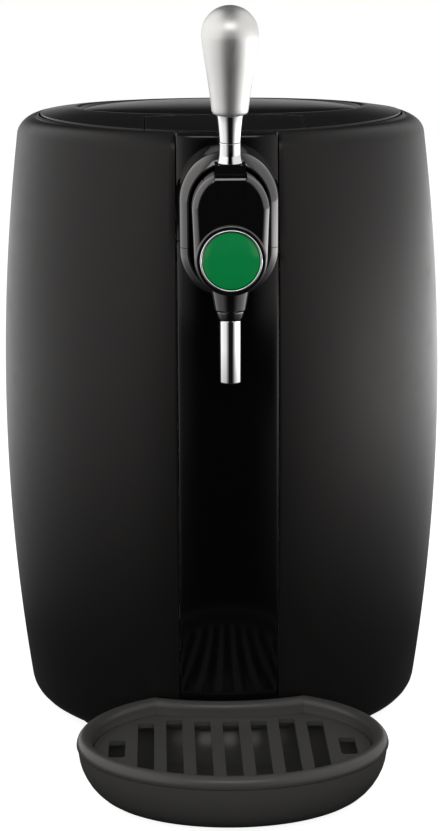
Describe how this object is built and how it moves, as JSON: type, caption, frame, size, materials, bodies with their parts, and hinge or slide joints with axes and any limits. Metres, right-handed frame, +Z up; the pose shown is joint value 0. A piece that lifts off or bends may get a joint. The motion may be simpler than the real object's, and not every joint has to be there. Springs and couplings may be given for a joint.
{
  "type": "mini keg beer dispenser",
  "caption": "Barrel-shaped cooled dispenser for a small beer keg, with a hinged lid, a lever tap over a glass space and a pull-out drip tray.",
  "frame": {"origin": "centre of the overall bounding box at the level of the table the feet stand on", "axes": "+Z up, -Y towards the front with the tap and the drip tray, +X towards the right-hand side of the picture"},
  "size_m": [0.2862, 0.43, 0.4665],
  "materials": {
    "satin_black": "satin",
    "gloss_black": "high gloss",
    "inner_black": "matte",
    "chrome": "polished",
    "satin_metal": "satin",
    "badge_green": "glossy",
    "aluminium": "mill",
    "foam": "expanded foam",
    "rubber": "matte",
    "circuit_green": "circuit board",
    "ceramic": "ceramic",
    "steel": "brushed"
  },
  "bodies": {
    "barrel": {"left_shell": "satin_black", "right_shell": "satin_black", "front_panel": "gloss_black", "tap_hood": "gloss_black", "rear_cover": "satin_black", "base_plate": "inner_black", "keg_liner": "aluminium", "foam_jacket": "foam", "well_collar": "inner_black", "hinge_bracket": "inner_black", "lid_hinge_pin": "steel", "switch_housing": "inner_black", "power_inlet": "inner_black", "foot_front_left": "rubber", "foot_front_right": "rubber", "foot_rear_left": "rubber", "foot_rear_right": "rubber", "cold_plate": "aluminium", "thermoelectric_tile": "ceramic", "heat_sink": "aluminium", "fan_bracket": "inner_black", "temperature_probe": "steel", "fan_frame": "inner_black", "power_board": "circuit_green", "transformer": "steel", "capacitor_front": "aluminium", "capacitor_rear": "aluminium", "tap_body": "gloss_black", "spout_collar": "gloss_black", "spout_nut": "gloss_black", "spout_tube": "chrome", "badge_bezel": "chrome", "badge_disc": "badge_green", "lever_pin": "steel"},
    "lid": {"lid_frame": "satin_black", "lid_dome": "gloss_black", "lid_pan": "inner_black", "lid_seal": "rubber", "latch_pin": "steel"},
    "latch": {"latch_flap": "satin_black"},
    "lever": {"lever_hub": "gloss_black", "lever_stem": "chrome", "stem_ferrule": "chrome", "lever_grip": "satin_metal"},
    "jaw": {"pinch_jaw": "inner_black"},
    "fan": {"fan_rotor": "inner_black"},
    "rocker": {"power_rocker": "gloss_black"},
    "tray": {"tray_bowl": "satin_black", "tray_rim": "gloss_black"},
    "grate": {"drip_grate": "satin_black"}
  },
  "joints": [
    {"name": "lid_hinge", "type": "hinge", "parent": "barrel", "child": "lid", "pos_m": [0, 0.176, 0.3835], "axis": [-1, 0, 0], "range_deg": [0, 80]},
    {"name": "latch_press", "type": "hinge", "parent": "lid", "child": "latch", "pos_m": [0, -0.022, 0.385], "axis": [1, 0, 0], "range_deg": [0, 6], "stiffness_Nm_per_rad": 0.6},
    {"name": "tap_lever", "type": "hinge", "parent": "barrel", "child": "lever", "pos_m": [0, -0.13, 0.366], "axis": [1, 0, 0], "range_deg": [0, 40]},
    {"name": "pinch_slide", "type": "slide", "parent": "barrel", "child": "jaw", "axis": [0, 0, 1], "range_m": [0, 0.0072]},
    {"name": "fan_spin", "type": "hinge", "parent": "barrel", "child": "fan", "pos_m": [0, 0.1889, 0.165], "axis": [0, 1, 0], "continuous": true},
    {"name": "power_switch", "type": "hinge", "parent": "barrel", "child": "rocker", "pos_m": [-0.03, 0.1983, 0.062], "axis": [1, 0, 0], "range_deg": [0, 12]},
    {"name": "tray_slide", "type": "slide", "parent": "barrel", "child": "tray", "axis": [0, -1, 0], "range_m": [0, 0.06]},
    {"name": "grate_lift", "type": "slide", "parent": "tray", "child": "grate", "axis": [0, 0, 1], "range_m": [0, 0.03]}
  ],
  "couplings": [
    {"joint": "pinch_slide", "follows": "tap_lever", "m_per_rad": 0.01013}
  ]
}
